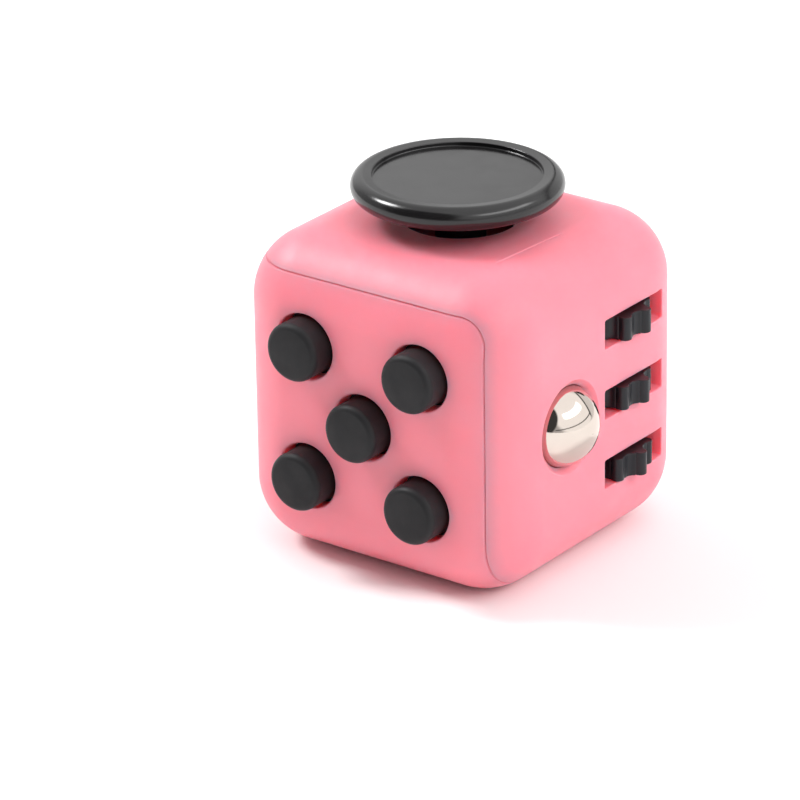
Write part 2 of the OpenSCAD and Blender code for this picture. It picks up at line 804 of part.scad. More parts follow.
front_left_shell();
top_right_back_shell();
button_plate_posts();
glide_posts();
ball_sleeve();
axle_saddles();
housing_lugs();
button(button_spots[0]);  // button_upper_left
button(button_spots[1]);  // button_upper_right
button(button_spots[2]);  // button_centre
button(button_spots[3]);  // button_lower_left
button(button_spots[4]);  // button_lower_right
button_pad();
click_domes();
button_back_plate();
button_plate_screws();
joystick_cap();
joystick_slider();
joystick_cross_slider();
centring_ring();
glide_retainer();
glide_screws();
ball();
ball_socket();
ball_spring();
ball_spring_cap();
wheel(0);  // wheel_top
wheel(1);  // wheel_middle
wheel(2);  // wheel_bottom
wheel_axle();
axle_keeper();
wheel_click_spring(0);  // wheel_click_spring_top
wheel_click_spring(1);  // wheel_click_spring_middle
wheel_click_spring(2);  // wheel_click_spring_bottom
rocker();
rocker_pin();
rocker_housing();
rocker_housing_screws();
rocker_detent_spring();
dial_cap();
dial_ratchet();
dial_screw();
dial_click_spring();
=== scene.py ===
"""Fidget cube: pink shell, black buttons, joystick disc, wheels, rocker and dial, and a steel ball."""

import json
import math

import bmesh
import bpy
from mathutils import Matrix, Vector


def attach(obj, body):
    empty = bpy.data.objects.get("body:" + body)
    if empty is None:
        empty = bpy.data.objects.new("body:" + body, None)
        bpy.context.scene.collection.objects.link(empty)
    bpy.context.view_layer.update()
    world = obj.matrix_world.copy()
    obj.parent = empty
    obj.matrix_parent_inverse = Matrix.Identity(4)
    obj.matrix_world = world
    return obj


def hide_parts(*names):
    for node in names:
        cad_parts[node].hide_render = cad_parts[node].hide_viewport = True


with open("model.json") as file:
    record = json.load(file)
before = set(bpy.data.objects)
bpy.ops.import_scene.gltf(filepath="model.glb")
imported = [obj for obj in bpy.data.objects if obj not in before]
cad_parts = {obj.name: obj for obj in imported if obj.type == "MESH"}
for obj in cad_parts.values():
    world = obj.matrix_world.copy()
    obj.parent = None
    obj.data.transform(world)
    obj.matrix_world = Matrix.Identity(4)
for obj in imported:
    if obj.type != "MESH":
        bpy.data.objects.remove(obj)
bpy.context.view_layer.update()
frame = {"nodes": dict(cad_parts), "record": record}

# ---- Sizes, in millimetres ----

HALF = 16.5  # half the cube's edge
EDGE_R = 7.0  # radius of its outer edges and corners
FLAT = HALF - EDGE_R  # half the width of a face's flat part
WALL = 2.0
MIDDLE_Z = HALF  # height of the cube's centre above the floor

SEAM_AT = 13.6  # distance of the seam from the cube's centre
SEAM_TURN_R = 3.0
SEAM_BLOCK_DEPTH = 10.0  # deeper than the wall and the cube's rounded edges
SEAM_GAP = 0.055  # half the width of the gap between the two shell halves
SEAM_ROUND = 0.09  # radius along each half's edge
LIP_DEPTH = 1.1  # depth of the inner lip behind the outer skin
LIP_REACH = 0.7  # how far the lip reaches past the seam
LIP_HOLD = 1.5  # how far the lip runs back behind its own half's wall
LIP_PLAY = 0.1  # room round the lip in the other half
LIP_STEP = 0.03  # how far the lip's inside stops short of the wall's inside

BUTTON_R = 3.0
BUTTON_TOP = 2.4
BUTTON_EDGE_R = 0.7
BUTTON_CROWN = 0.12  # how much a cap's face is domed
BUTTON_FLANGE_R = 3.75
BUTTON_FLANGE_TOP = -2.2
BUTTON_FLANGE_LOW = -3.0
BUTTON_PEG_R = 1.2
BUTTON_PEG_END = -3.9
BUTTON_HOLE_R = 3.37
BUTTON_HOLE_ROUND = 0.22  # radius round the hole's mouth, as every _ROUND below
BUTTON_PITCH = 6.85
BUTTON_SPOTS = {
    "button_upper_left": (-BUTTON_PITCH, BUTTON_PITCH),
    "button_upper_right": (BUTTON_PITCH, BUTTON_PITCH),
    "button_centre": (0.0, 0.0),
    "button_lower_left": (-BUTTON_PITCH, -BUTTON_PITCH),
    "button_lower_right": (BUTTON_PITCH, -BUTTON_PITCH),
}

STEM_HOLE_R = 5.7
STEM_HOLE_ROUND = 0.12
DISC_R = 10.5
DISC_TOP = 4.6
DISC_RIM = 2.4  # thickness of the disc's round rim
DISC_DISH = 0.5  # depth of the flat dish inside the rim
DISC_DISH_R = 8.4
DISC_EDGE_R = 0.1  # radius along the rim's inner edge
DISC_EDGE_DROP = 0.16  # how far the middle of that radius is below the disc's top
DISC_FILLET_R = 0.12
DISC_AT = -0.3  # the disc sits a little off the middle of its travel

BALL_AT = -5.0
BALL_MOUTH_R = 4.75  # outer radius of the countersink
BALL_LIP_R = 4.15  # narrowest radius of the hole, which holds the ball in
BALL_LIP_DEPTH = 0.58
BALL_LIP_LAND = 0.1
BALL_SEAT_R = 4.45  # radius of the hole behind the lip

AXLE_DEPTH = 2.75
AXLE_AT = 5.8
WHEEL_R = 4.15
WHEEL_T = 2.4
WHEEL_ROOT_R = 3.25
WHEEL_TEETH = 8
WHEEL_EDGE_R = 0.14
TOOTH_R = 0.65
TOOTH_STEPS = 36  # points along the outline for each tooth
SCALLOP_R = 0.85
WHEEL_PITCH = 7.4
WHEELS = {  # height of the slot, lift of the wheel in it, phase of its teeth in degrees
    "wheel_top": (WHEEL_PITCH, 0.0, 13.7),
    "wheel_middle": (0.0, 0.12, 9.0),
    "wheel_bottom": (-WHEEL_PITCH, -0.06, 0.9),
}
SLOT_AT = 5.9
SLOT_W = 10.04
SLOT_H = 3.0
SLOT_RAISE = 0.15
SLOT_CORNER_R = 0.2
SLOT_ROUND = 0.12
AXLE_BORE_R = 0.61

ROCKER_PIN_DEPTH = 3.9
PIN_BORE_R = 0.86
ROCKER_W = 10.6
ROCKER_LEN = 12.8
ROCKER_MID = 4.0  # height of its middle above the pin
ROCKER_TILT = 10.0  # degrees, of the switch at rest and of each half of its face
ROCKER_CREASE = 0.6  # how softly the two halves of the face meet
ROCKER_SIDE = 1.6  # height of the lower corners at its two ends, above the pin
ROCKER_KEEL = (-1.3, 2.2)  # height, below the pin, and half length of its lower edge
ROCKER_EDGE_R = 0.35
ROCKER_OPEN_W = 11.2
ROCKER_OPEN_H = 15.2
ROCKER_OPEN_CORNER_R = 0.5
ROCKER_OPEN_ROUND = 0.25

DIAL_R = 6.8
DIAL_TOP = 2.0
DIAL_LOW = 0.3
DIAL_EDGE_R = 0.6
DIAL_LOW_EDGE_R = 0.2
DIAL_DIP_R = 34.0  # radius of the sphere that hollows the dial's face
DIAL_DIP_RIM = DIAL_R - 1.1
DIAL_DIP_DROP = 0.03
DIAL_CORE = 0.8  # where the nub and the hub end inside the cap
NUB_AT = 4.2
NUB_R = 1.6
NUB_TOP = 2.6
NUB_EDGE_R = 0.5
NUB_FOOT_R = 0.25
HUB_R = 2.6
HUB_SHOULDER = -2.33
HUB_NECK_R = 1.6
HUB_END = -3.45
HUB_HOLE_R = 2.66
HUB_HOLE_ROUND = 0.15

SINK_AT = (10.2, -2.7)  # middle of the faint moulding mark beside the disc
SINK_LEN = 10.0
SINK_TURN = 4.0  # degrees off the cube's edge
SINK_W = 0.13
SINK_DEPTH = 0.13

DISH_W = 17.0
DISH_DEPTH = 1.9
DISH_R = ((DISH_W / 2) ** 2 + DISH_DEPTH**2) / (2 * DISH_DEPTH)

ROUND = 96  # segments round a turned piece
SKIN_STEPS = 24  # segments round an edge of the cube's skin
LIP_STEPS = 12  # segments round an edge of the lip
CORNER_STEPS = 5  # pieces along a corner of a rectangular hole
SIDE_STEPS = 24  # pieces along a straight side of a rectangular hole
AXIS_R = 0.001  # radius that stands for a point on the axis of a turned piece
AXIS_ANGLE = -89.98  # where an arc that ends on that axis stops, in degrees
HOLE_DEPTH = 3.2  # how far a hole's cutter reaches in, past the wall
CLEAR = 1.0  # how far a cutter reaches beyond what it cuts
SMOOTH_ANGLE = 32  # edges that turn by more than this many degrees stay sharp
MM = 0.001

# ---- Frames of the six faces: u and v run along a face, w points out of it ----


def on_front(u, v, w):
    return (u, -HALF - w, MIDDLE_Z + v)


def on_back(u, v, w):
    return (-u, HALF + w, MIDDLE_Z + v)


def on_right(u, v, w):
    return (HALF + w, u, MIDDLE_Z + v)


def on_left(u, v, w):
    return (-HALF - w, -u, MIDDLE_Z + v)


def on_top(u, v, w):
    return (u, v, 2 * HALF + w)


def on_bottom(u, v, w):
    return (u, -v, -w)


# ---- Mesh tools. Everything is built in millimetres and scaled once at the end ----


def make(name, points, faces):
    mesh = bpy.data.meshes.new(name)
    mesh.from_pydata(points, [], faces)
    obj = bpy.data.objects.new(name, mesh)
    bpy.context.scene.collection.objects.link(obj)
    shape = bmesh.new()
    shape.from_mesh(mesh)
    bmesh.ops.remove_doubles(shape, verts=shape.verts, dist=1e-5)
    bmesh.ops.recalc_face_normals(shape, faces=shape.faces)
    shape.to_mesh(mesh)
    shape.free()
    return obj


def ring_faces(rings, closed):
    """Quads between successive rings of equal length, and from the last to the first if closed."""
    size = len(rings[0])
    faces = []
    for i in range(len(rings) if closed else len(rings) - 1):
        near, far = i * size, (i + 1) % len(rings) * size
        for k in range(size):
            after = (k + 1) % size
            faces.append((near + k, near + after, far + after, far + k))
    return faces


def rings_to_solid(name, rings):
    """Closed solid from rings of equal length, capped at both ends."""
    size = len(rings[0])
    points = [p for ring in rings for p in ring]
    faces = ring_faces(rings, False)
    faces.append(tuple(range(size)))
    faces.append(tuple((len(rings) - 1) * size + k for k in range(size)))
    return make(name, points, faces)


def lathe(name, profile, place, centre=(0.0, 0.0), segments=ROUND):
    """Turned solid from (radius, w) points, about a line through centre."""
    rings = []
    for radius, w in profile:
        ring = []
        for k in range(segments):
            a = 2 * math.pi * k / segments
            ring.append(place(centre[0] + radius * math.cos(a), centre[1] + radius * math.sin(a), w))
        rings.append(ring)
    return rings_to_solid(name, rings)


def arc(cx, cy, r, start, end, steps):
    """Points on an arc, angles in degrees."""
    return [
        (
            cx + r * math.cos(math.radians(start + (end - start) * i / steps)),
            cy + r * math.sin(math.radians(start + (end - start) * i / steps)),
        )
        for i in range(steps + 1)
    ]


def evaluated(obj):
    """Bakes obj's modifiers into its mesh."""
    bpy.context.view_layer.update()
    graph = bpy.context.evaluated_depsgraph_get()
    baked = bpy.data.meshes.new_from_object(obj.evaluated_get(graph))
    obj.modifiers.clear()
    obj.data = baked
    return obj


def combine(obj, other, operation):
    """Boolean of obj with other; other is used up."""
    step = obj.modifiers.new("combine", "BOOLEAN")
    step.operation = operation
    step.solver = "EXACT"
    step.object = other
    evaluated(obj)
    bpy.data.objects.remove(other)
    return obj


def copy_of(obj):
    twin = obj.copy()
    twin.data = obj.data.copy()
    bpy.context.scene.collection.objects.link(twin)
    return twin


def joined(obj, other):
    """Adds other's faces to obj's mesh."""
    shape = bmesh.new()
    shape.from_mesh(obj.data)
    shape.from_mesh(other.data)
    shape.to_mesh(obj.data)
    shape.free()
    bpy.data.objects.remove(other)
    return obj


def bevelled(obj, width, segments, angle):
    """Rounds every edge that turns by more than angle."""
    step = obj.modifiers.new("bevel", "BEVEL")
    step.width = width
    step.segments = segments
    step.limit_method = "ANGLE"
    step.angle_limit = math.radians(angle)
    return evaluated(obj)


def smoothed(obj):
    """Smooth shading that stays true on flat faces and breaks at sharp edges."""
    obj.data.polygons.foreach_set("use_smooth", [True] * len(obj.data.polygons))
    obj.data.set_sharp_from_angle(angle=math.radians(SMOOTH_ANGLE))
    step = obj.modifiers.new("normals", "WEIGHTED_NORMAL")
    step.keep_sharp = True
    step.weight = 100
    return evaluated(obj)


def placed(obj, body, node, material):
    """Scales a finished piece to metres and puts it in the place of its CAD node."""
    obj.data.transform(Matrix.Scale(MM, 4))
    obj.data.materials.clear()
    obj.data.materials.append(material)
    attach(obj, body)
    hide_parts(node)


# ---- Materials ----

NOISE_DETAIL = 3.0
NOISE_LOW, NOISE_HIGH = 0.3, 0.7  # the part of a noise's range that is used


def nodes_of(name):
    material = bpy.data.materials.new(name)
    material.use_nodes = True
    tree = material.node_tree
    return material, tree, tree.nodes["Principled BSDF"]


def noise(tree, scale_per_mm, detail=NOISE_DETAIL, stretch=(1, 1, 1)):
    """Noise over the piece's own coordinates, with about scale_per_mm features a millimetre."""
    place = tree.nodes.new("ShaderNodeTexCoord")
    mapping = tree.nodes.new("ShaderNodeMapping")
    mapping.inputs["Scale"].default_value = [s / MM for s in stretch]
    texture = tree.nodes.new("ShaderNodeTexNoise")
    texture.inputs["Scale"].default_value = scale_per_mm
    texture.inputs["Detail"].default_value = detail
    tree.links.new(place.outputs["Object"], mapping.inputs["Vector"])
    tree.links.new(mapping.outputs["Vector"], texture.inputs["Vector"])
    return texture.outputs["Fac"]


def spread(tree, value, low, high):
    """Maps a noise value onto a range."""
    step = tree.nodes.new("ShaderNodeMapRange")
    step.inputs["From Min"].default_value = NOISE_LOW
    step.inputs["From Max"].default_value = NOISE_HIGH
    step.inputs["To Min"].default_value = low
    step.inputs["To Max"].default_value = high
    tree.links.new(value, step.inputs["Value"])
    return step.outputs["Result"]


def tint(tree, value, dark, light):
    """Colour between dark and light by a noise value."""
    ramp = tree.nodes.new("ShaderNodeValToRGB")
    ramp.color_ramp.elements[0].position = NOISE_LOW
    ramp.color_ramp.elements[0].color = (*dark, 1)
    ramp.color_ramp.elements[1].position = NOISE_HIGH
    ramp.color_ramp.elements[1].color = (*light, 1)
    tree.links.new(value, ramp.inputs["Fac"])
    return ramp.outputs["Color"]


def bump(tree, shader, layers):
    """Chains bump layers, each (height value, distance in mm, strength)."""
    below = None
    for value, distance, strength in layers:
        step = tree.nodes.new("ShaderNodeBump")
        step.inputs["Distance"].default_value = distance * MM
        step.inputs["Strength"].default_value = strength
        tree.links.new(value, step.inputs["Height"])
        if below:
            tree.links.new(below, step.inputs["Normal"])
        below = step.outputs["Normal"]
    tree.links.new(below, shader.inputs["Normal"])


def plastic(name, dark, light, rough, grain_per_mm, grain, waviness=0.0, gloss=0.5, soft=0.0):
    """Moulded plastic or rubber: faint colour variation, uneven roughness and a fine moulded grain."""
    material, tree, shader = nodes_of(name)
    tree.links.new(tint(tree, noise(tree, 0.12), dark, light), shader.inputs["Base Color"])
    tree.links.new(spread(tree, noise(tree, 0.5), rough[0], rough[1]), shader.inputs["Roughness"])
    shader.inputs["Specular IOR Level"].default_value = gloss
    shader.inputs["Subsurface Weight"].default_value = soft
    shader.inputs["Subsurface Radius"].default_value = (1.0, 0.22, 0.2)
    shader.inputs["Subsurface Scale"].default_value = 3.0 * MM
    layers = [(noise(tree, grain_per_mm, 2.0), grain, 1.0)]
    if waviness:
        layers.append((noise(tree, 0.16, 1.0), waviness, 1.0))
    bump(tree, shader, layers)
    return material


def metal(name, dark, light, rough, grain_per_mm, grain, stretch=(1, 1, 1)):
    """Bare metal with faint drawing marks."""
    material, tree, shader = nodes_of(name)
    shader.inputs["Metallic"].default_value = 1.0
    tree.links.new(tint(tree, noise(tree, 0.4), dark, light), shader.inputs["Base Color"])
    marks = noise(tree, 1.5, stretch=stretch)
    tree.links.new(spread(tree, marks, rough[0], rough[1]), shader.inputs["Roughness"])
    bump(tree, shader, [(noise(tree, grain_per_mm, 2.0, stretch), grain, 1.0)])
    return material


def hidden_black(name):
    """Black plastic of the pieces on the faces that the photo doesn't show."""
    dark, light = (0.014, 0.013, 0.015), (0.019, 0.018, 0.02)
    return plastic(name, dark, light, rough=(0.36, 0.46), grain_per_mm=6.0, grain=0.004)


# A material's colour and its roughness each run between two values. Grain and waviness are heights in mm.
MATERIALS = {
    "shell_pink": plastic(
        "pink_plastic", (0.9, 0.226, 0.288), (0.92, 0.243, 0.306),
        rough=(0.42, 0.5), grain_per_mm=5.0, grain=0.003, waviness=0.03, soft=0.85,
    ),
    "button_black": plastic(
        "button_rubber", (0.007, 0.0066, 0.0078), (0.01, 0.0095, 0.011),
        rough=(0.5, 0.64), grain_per_mm=6.0, grain=0.008, gloss=0.3,
    ),
    "joystick_black": plastic(
        "disc_plastic", (0.006, 0.0055, 0.006), (0.009, 0.0085, 0.009),
        rough=(0.16, 0.22), grain_per_mm=5.0, grain=0.0015, waviness=0.01,
    ),
    "wheel_black": plastic(
        "wheel_plastic", (0.008, 0.0085, 0.011), (0.012, 0.0125, 0.016),
        rough=(0.34, 0.44), grain_per_mm=5.0, grain=0.003, gloss=0.33,
    ),
    "rocker_black": hidden_black("rocker_plastic"),
    "dial_black": hidden_black("dial_plastic"),
    "inner_plastic": plastic(
        "inner_plastic", (0.7, 0.69, 0.65), (0.78, 0.77, 0.73),
        rough=(0.45, 0.55), grain_per_mm=4.0, grain=0.005,
    ),
    "silicone_pad": plastic(
        "silicone", (0.45, 0.44, 0.42), (0.55, 0.54, 0.51),
        rough=(0.5, 0.6), grain_per_mm=3.0, grain=0.004, soft=0.2,
    ),
    "rubber_ring": plastic(
        "ring_rubber", (0.02, 0.018, 0.018), (0.03, 0.028, 0.028),
        rough=(0.6, 0.7), grain_per_mm=4.0, grain=0.004,
    ),
    "ball_steel": metal(
        "ball_steel", (0.6, 0.53, 0.475), (0.64, 0.565, 0.51),
        rough=(0.05, 0.08), grain_per_mm=3.0, grain=0.0005,
    ),
    "axle_steel": metal(
        "axle_steel", (0.5, 0.5, 0.51), (0.6, 0.6, 0.61),
        rough=(0.25, 0.35), grain_per_mm=4.0, grain=0.001, stretch=(1, 1, 0.1),
    ),
    "spring_steel": metal(
        "spring_steel", (0.5, 0.5, 0.52), (0.62, 0.62, 0.64),
        rough=(0.22, 0.32), grain_per_mm=4.0, grain=0.001,
    ),
    "screw_steel": metal(
        "screw_steel", (0.5, 0.5, 0.52), (0.65, 0.65, 0.67),
        rough=(0.28, 0.4), grain_per_mm=4.0, grain=0.002,
    ),
}

# ---- Shell ----


def rounded_box(name, half, radius, segments):
    """Box about the cube's centre with every edge and corner rounded."""
    shape = bmesh.new()
    bmesh.ops.create_cube(shape, size=2 * half)
    bmesh.ops.bevel(
        shape,
        geom=shape.edges[:],
        offset=radius,
        offset_type="OFFSET",
        segments=segments,
        profile=0.5,
        affect="EDGES",
    )
    flat = half - radius
    for vert in shape.verts:
        core = Vector([max(-flat, min(flat, c)) for c in vert.co])
        out = vert.co - core
        if out.length > 1e-6:
            vert.co = core + out.normalized() * radius
    mesh = bpy.data.meshes.new(name)
    shape.to_mesh(mesh)
    shape.free()
    mesh.transform(Matrix.Translation((0, 0, MIDDLE_Z)))
    obj = bpy.data.objects.new(name, mesh)
    bpy.context.scene.collection.objects.link(obj)
    return obj


def hollow_box(name, outer_inset, inner_inset, segments):
    """Shell of the cube's shape between two depths behind its skin."""
    outer = rounded_box(name, HALF - outer_inset, EDGE_R - outer_inset, segments)
    inner = rounded_box(name + "_inner", HALF - inner_inset, EDGE_R - inner_inset, segments)
    return combine(outer, inner, "DIFFERENCE")


def skin(u, v):
    """Depth of the outer skin behind a face's plane at (u, v), as a value of w."""
    a = max(abs(u) - FLAT, 0.0)
    b = max(abs(v) - FLAT, 0.0)
    return math.sqrt(max(EDGE_R**2 - a * a - b * b, 0.0)) - EDGE_R


def seam_block(name, place, mirror_u, mirror_v, grow):
    """Block behind one face, up to the seam on its far sides."""
    reach = SEAM_AT + grow
    turn = SEAM_TURN_R + grow
    past = -HALF - CLEAR
    outline = [(past, past), (reach, past)]
    outline += arc(reach - turn, reach - turn, turn, 0, 90, 16)
    outline += [(past, reach)]
    levels = (-SEAM_BLOCK_DEPTH, CLEAR)
    rings = [[place(mirror_u * u, mirror_v * v, w) for u, v in outline] for w in levels]
    return rings_to_solid(name, rings)


def front_side(grow):
    """Space on the front half's side of the seam."""
    block = seam_block("seam_front", on_front, 1, 1, grow)
    combine(block, seam_block("seam_left", on_left, -1, 1, grow), "UNION")
    return combine(block, seam_block("seam_bottom", on_bottom, 1, -1, grow), "UNION")


def seam_path():
    """Points and outward normals along the seam, a closed loop on the outer skin."""
    side = SEAM_AT - FLAT
    bend = math.sqrt(EDGE_R**2 - side * side)  # radius of the seam's bends between two faces
    turn_at = SEAM_AT - SEAM_TURN_R
    points = []

    def turn(place, mirror_u, mirror_v, backwards):
        """Round corner on one face, with the short runs between it and the flat part."""
        runs = [FLAT, (FLAT + turn_at) / 2]
        corner = [(SEAM_AT, v) for v in runs] + arc(turn_at, turn_at, SEAM_TURN_R, 0, 90, 20)
        corner += [(u, SEAM_AT) for u in reversed(runs)]
        for u, v in reversed(corner) if backwards else corner:
            points.append(Vector(place(mirror_u * u, mirror_v * v, skin(u, v))))

    def bend_round(corner):
        """Bend about an edge of the cube, from one face to the next."""
        for a in range(0, 91, 6):
            t = math.radians(a)
            points.append(corner(math.cos(t) * bend, math.sin(t) * bend))

    middle = Vector((0, 0, MIDDLE_Z))
    turn(on_front, 1, 1, False)
    bend_round(lambda c, s: middle + Vector((-FLAT - s, -FLAT - c, SEAM_AT)))
    turn(on_left, -1, 1, True)
    bend_round(lambda c, s: middle + Vector((-FLAT - c, SEAM_AT, -FLAT - s)))
    turn(on_bottom, 1, -1, True)
    bend_round(lambda c, s: middle + Vector((SEAM_AT, -FLAT - s, -FLAT - c)))
    normals = []
    for p in points:
        q = p - middle
        core = Vector([max(-FLAT, min(FLAT, c)) for c in q])
        normals.append((q - core).normalized())
    return points, normals


def rounded_mouth(inset, radius, steps, run):
    """Section that rounds an edge, (outset, w) from the inside out: most of a quarter arc, then
    straight on for run, so that the cutter leaves the skin at a clear angle."""
    lift = 18  # slope of the straight run, in degrees
    section = arc(inset + radius, -radius, radius, 180, 90 + lift, steps)
    outset, w = section[-1]
    return section + [(outset + run, w + run * math.tan(math.radians(lift)))]


def seam_groove(name):
    """Cutter that rounds both edges of the seam."""
    points, normals = seam_path()
    half = rounded_mouth(SEAM_GAP, SEAM_ROUND, 4, 0.25)
    section = half + [(-s, n) for s, n in reversed(half)]
    loops = []
    for i, normal in enumerate(normals):
        along = (points[(i + 1) % len(points)] - points[i - 1]).normalized()
        side = along.cross(normal).normalized()
        loops.append([points[i] + side * s + normal * n for s, n in section])
    return make(name, [p for loop in loops for p in loop], ring_faces(loops, True))


def hole_profile(mouth):
    """Profile of a hole's cutter with a mouth of that radius: (outset, w) from the inside out."""
    return [(0.0, -HOLE_DEPTH)] + rounded_mouth(0.0, mouth, 5, 0.6)


def round_hole(name, place, centre, radius, mouth):
    return lathe(name, [(radius + s, w) for s, w in hole_profile(mouth)], place, centre)


def window(name, place, centre, size, corner, mouth):
    """Cutter for a rectangular hole with rounded corners, whose mouth follows the outer skin."""
    rings = []
    levels = hole_profile(mouth)
    for outset, w in levels + [(levels[-1][0], CLEAR)]:
        ring = []
        for cx, cy, start in ((1, 1, 0), (-1, 1, 90), (-1, -1, 180), (1, -1, 270)):
            at = (centre[0] + cx * (size[0] / 2 - corner), centre[1] + cy * (size[1] / 2 - corner))
            ring += arc(at[0], at[1], corner + outset, start, start + 90, CORNER_STEPS)
        points = []
        for i, (u, v) in enumerate(ring):
            nu, nv = ring[(i + 1) % len(ring)]
            corner_done = i % (CORNER_STEPS + 1) == CORNER_STEPS
            pieces = SIDE_STEPS if corner_done else 1  # the straight sides bend with a curved skin
            points += [(u + (nu - u) * k / pieces, v + (nv - v) * k / pieces) for k in range(pieces)]
        on_skin = -CLEAR < w < CLEAR
        rings.append([place(u, v, w + (skin(u, v) if on_skin else 0.0)) for u, v in points])
    return rings_to_solid(name, rings)


def dish_cutter(name):
    """Sphere cap for the thumb dish, with a softly rounded rim."""
    rim = math.degrees(math.asin(DISH_W / 2 / DISH_R))
    steps = 24
    profile = arc(0, DISH_R - DISH_DEPTH, DISH_R, AXIS_ANGLE, rim * (steps - 1) / steps - 90, steps - 1)
    # in place of the last step, two short runs ease the sphere out into the flat face
    profile += [(DISH_W / 2 + 0.25, 0.02), (DISH_W / 2 + 1.2, 0.3)]
    return lathe(name, profile, on_bottom)


def dish_floor(name):
    """Domed floor inside the shell that keeps its wall full under the thumb dish."""
    dome = DISH_R + WALL
    reach = math.degrees(math.asin(DISH_W / 2 / dome))
    profile = [(AXIS_R, -WALL / 2), (DISH_W / 2, -WALL / 2)]
    profile += arc(0, DISH_R - DISH_DEPTH, dome, reach - 90, AXIS_ANGLE, 16)
    return lathe(name, profile, on_bottom)


def sink_mark(name):
    """Cutter for the shallow straight mark a rib inside leaves on the top face."""
    turn = math.radians(SINK_TURN)
    rings = []
    for along in (-SINK_LEN / 2, SINK_LEN / 2):
        ring = []
        for across, w in ((-2 * SINK_W, SINK_DEPTH), (0, -SINK_DEPTH), (2 * SINK_W, SINK_DEPTH)):
            u = SINK_AT[0] + across * math.cos(turn) + along * math.sin(turn)
            v = SINK_AT[1] - across * math.sin(turn) + along * math.cos(turn)
            ring.append(on_top(u, v, w))
        rings.append(ring)
    return rings_to_solid(name, rings)


def ball_hole(name):
    """Cutter for the countersunk hole, the lip that holds the ball in and the seat behind it."""
    land = -BALL_LIP_DEPTH - BALL_LIP_LAND
    profile = [(BALL_SEAT_R, -HOLE_DEPTH), (BALL_SEAT_R, land + BALL_LIP_R - BALL_SEAT_R)]
    profile += [(BALL_LIP_R, land), (BALL_LIP_R, -BALL_LIP_DEPTH)]
    # the countersink's outer edge is softened in two small steps
    profile += [(BALL_MOUTH_R - 0.05, -0.07), (BALL_MOUTH_R + 0.01, -0.02), (BALL_MOUTH_R + 0.3, 0.1)]
    return lathe(name, profile, on_right, (BALL_AT, 0))


def front_left_half(body):
    """Makes the hollow cube into the half with the buttons, the dial and the thumb dish."""
    combine(body, front_side(-SEAM_GAP), "INTERSECT")
    for name, spot in BUTTON_SPOTS.items():
        cutter = round_hole(name + "_hole", on_front, spot, BUTTON_HOLE_R, BUTTON_HOLE_ROUND)
        combine(body, cutter, "DIFFERENCE")
    combine(body, round_hole("hub_hole", on_left, (0, 0), HUB_HOLE_R, HUB_HOLE_ROUND), "DIFFERENCE")
    combine(body, dish_floor("dish_floor"), "UNION")
    combine(body, dish_cutter("dish"), "DIFFERENCE")
    combine(body, seam_groove("groove_front"), "DIFFERENCE")
    lip = hollow_box("lip", LIP_DEPTH, WALL - LIP_STEP, LIP_STEPS)
    combine(lip, front_side(LIP_REACH), "INTERSECT")
    combine(lip, front_side(-LIP_HOLD), "DIFFERENCE")
    return smoothed(joined(body, lip))


def top_right_back_half(body):
    """Makes the hollow cube into the half with the joystick, the ball, the wheels and the rocker."""
    combine(body, front_side(SEAM_GAP), "DIFFERENCE")
    recess = hollow_box("recess", LIP_DEPTH - LIP_PLAY, WALL + LIP_PLAY, LIP_STEPS)
    combine(body, combine(recess, front_side(LIP_REACH + LIP_PLAY), "INTERSECT"), "DIFFERENCE")
    combine(body, round_hole("stem_hole", on_top, (0, 0), STEM_HOLE_R, STEM_HOLE_ROUND), "DIFFERENCE")
    combine(body, sink_mark("sink_mark"), "DIFFERENCE")
    combine(body, ball_hole("ball_hole"), "DIFFERENCE")
    for name, (height, _, _) in WHEELS.items():
        centre = (SLOT_AT, height + SLOT_RAISE)
        size = (SLOT_W, SLOT_H)
        cutter = window(name + "_slot", on_right, centre, size, SLOT_CORNER_R, SLOT_ROUND)
        combine(body, cutter, "DIFFERENCE")
    size = (ROCKER_OPEN_W, ROCKER_OPEN_H)
    cutter = window("rocker_window", on_back, (0, 0), size, ROCKER_OPEN_CORNER_R, ROCKER_OPEN_ROUND)
    combine(body, cutter, "DIFFERENCE")
    combine(body, seam_groove("groove_back"), "DIFFERENCE")
    return smoothed(body)


def shell_halves():
    front = hollow_box("front_left_shell_piece", 0, WALL, SKIN_STEPS)
    back = copy_of(front)
    back.name = "top_right_back_shell_piece"
    return front_left_half(front), top_right_back_half(back)


# ---- Turned and moulded pieces ----


def button(name, spot):
    """Push button with a domed face, a flange behind the wall and a peg behind that."""
    inner = BUTTON_R - BUTTON_EDGE_R
    crown_r = (inner**2 + BUTTON_CROWN**2) / (2 * BUTTON_CROWN)
    profile = [(AXIS_R, BUTTON_PEG_END), (BUTTON_PEG_R, BUTTON_PEG_END)]
    profile += [(BUTTON_PEG_R, BUTTON_FLANGE_LOW), (BUTTON_FLANGE_R, BUTTON_FLANGE_LOW)]
    profile += [(BUTTON_FLANGE_R, BUTTON_FLANGE_TOP), (BUTTON_R, BUTTON_FLANGE_TOP)]
    profile += arc(inner, BUTTON_TOP - BUTTON_CROWN - BUTTON_EDGE_R, BUTTON_EDGE_R, 0, 86, 10)
    steps = 8
    for i in range(1, steps + 1):
        r = inner * (1 - i / steps)
        profile.append((max(r, AXIS_R), BUTTON_TOP - (crown_r - math.sqrt(crown_r**2 - r * r))))
    return smoothed(lathe(name + "_piece", profile, on_front, spot))


